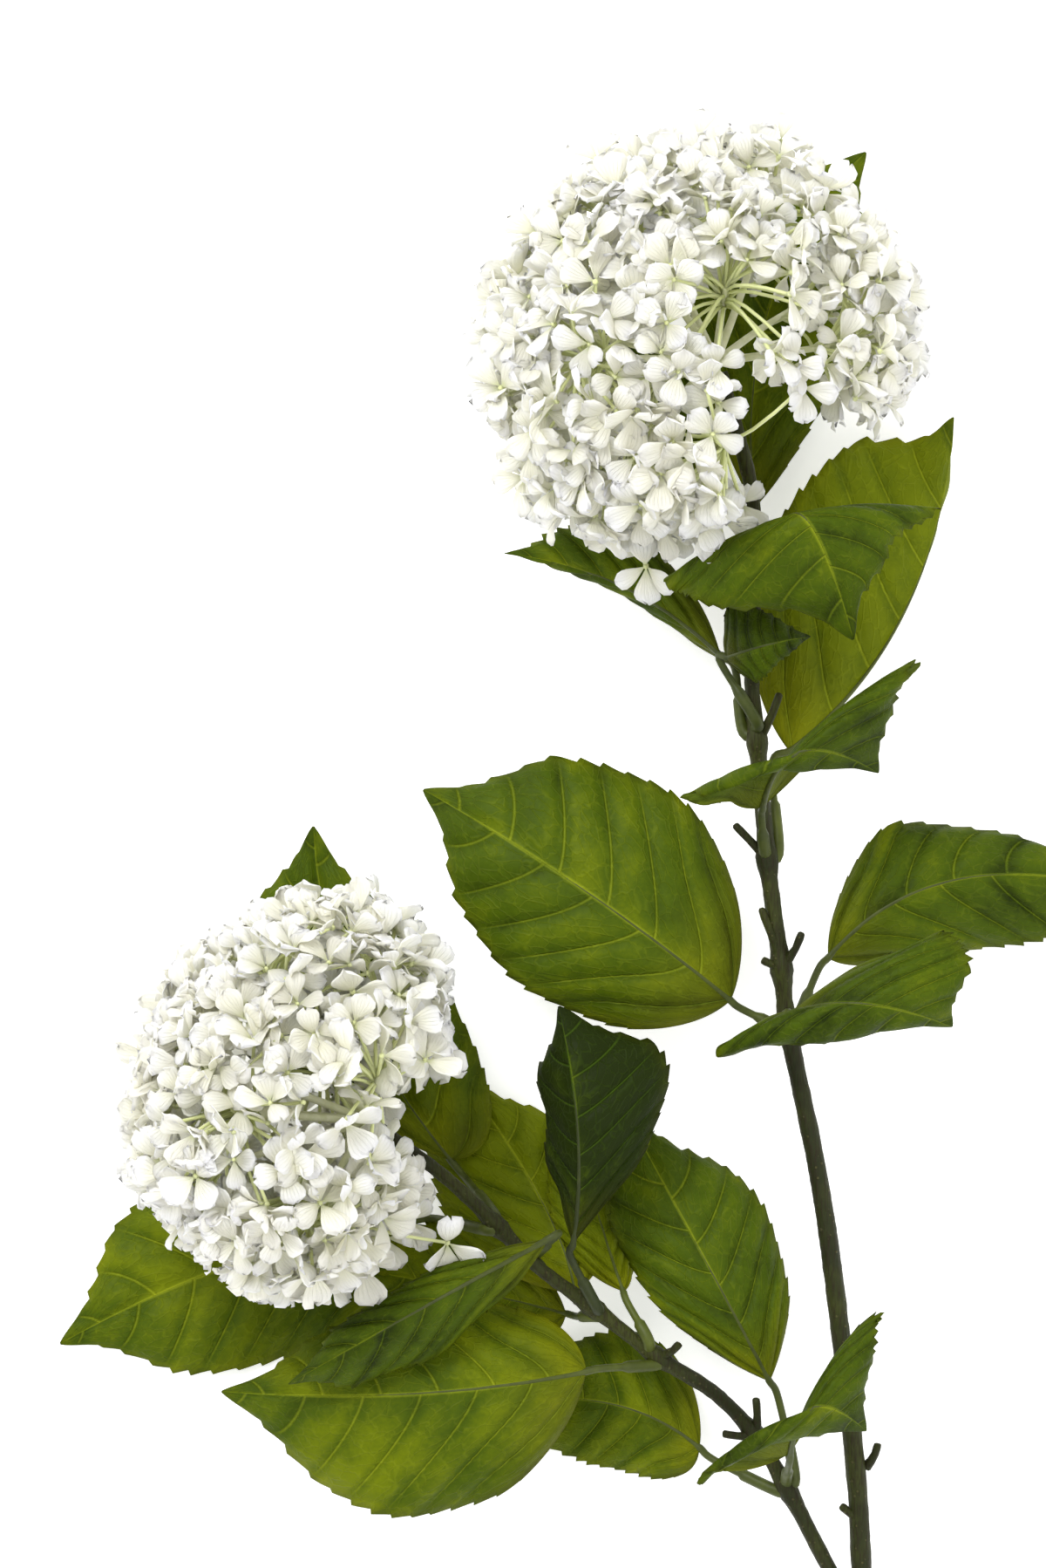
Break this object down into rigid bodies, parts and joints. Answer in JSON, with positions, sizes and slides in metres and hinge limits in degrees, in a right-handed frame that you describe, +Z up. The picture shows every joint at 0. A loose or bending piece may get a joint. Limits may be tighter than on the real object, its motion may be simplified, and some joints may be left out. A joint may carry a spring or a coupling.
{
  "type": "cut viburnum",
  "caption": "Cut viburnum spray lying flat: a forked woody stem with broad toothed leaves and round snowball heads of small white four-petalled florets.",
  "frame": {"origin": "middle of the footprint, on the surface that the spray lies on", "axes": "+Y along the spray, from the cut end towards the upper flower head; +X to the right as the spray is seen from above; +Z up from the surface"},
  "size_m": [0.3166, 0.5856, 0.1207],
  "materials": {
    "bark": "satin",
    "leaf": "satin",
    "petal": "matte",
    "ray": "satin"
  },
  "bodies": {
    "root": {"main_stem": "bark", "side_branch": "bark", "crown_right_leaf": "leaf", "crown_left_leaf": "leaf", "upper_front_leaf": "leaf", "upper_left_leaf": "leaf", "upper_small_leaf": "leaf", "upper_back_leaf": "leaf", "middle_front_leaf": "leaf", "main_left_leaf": "leaf", "right_front_leaf": "leaf", "right_back_leaf": "leaf", "fork_right_leaf": "leaf", "fork_front_leaf": "leaf", "fork_left_leaf": "leaf", "lower_front_leaf": "leaf", "branch_side_leaf": "leaf", "lower_fold_leaf": "leaf", "upright_leaf": "leaf", "branch_back_leaf": "leaf", "branch_under_leaf": "leaf", "head_left_leaf": "leaf", "head_back_leaf": "leaf", "upper_florets_1": "petal", "upper_florets_2": "petal", "upper_florets_3": "petal", "upper_florets_4": "petal", "upper_florets_5": "petal", "upper_florets_6": "petal", "upper_florets_7": "petal", "upper_florets_8": "petal", "upper_florets_9": "petal", "upper_florets_10": "petal", "upper_florets_11": "petal", "upper_rays": "ray", "lower_florets_1": "petal", "lower_florets_2": "petal", "lower_florets_3": "petal", "lower_florets_4": "petal", "lower_florets_5": "petal", "lower_florets_6": "petal", "lower_florets_7": "petal", "lower_florets_8": "petal", "lower_florets_9": "petal", "lower_florets_10": "petal", "lower_florets_11": "petal", "lower_rays": "ray"}
  },
  "joints": []
}
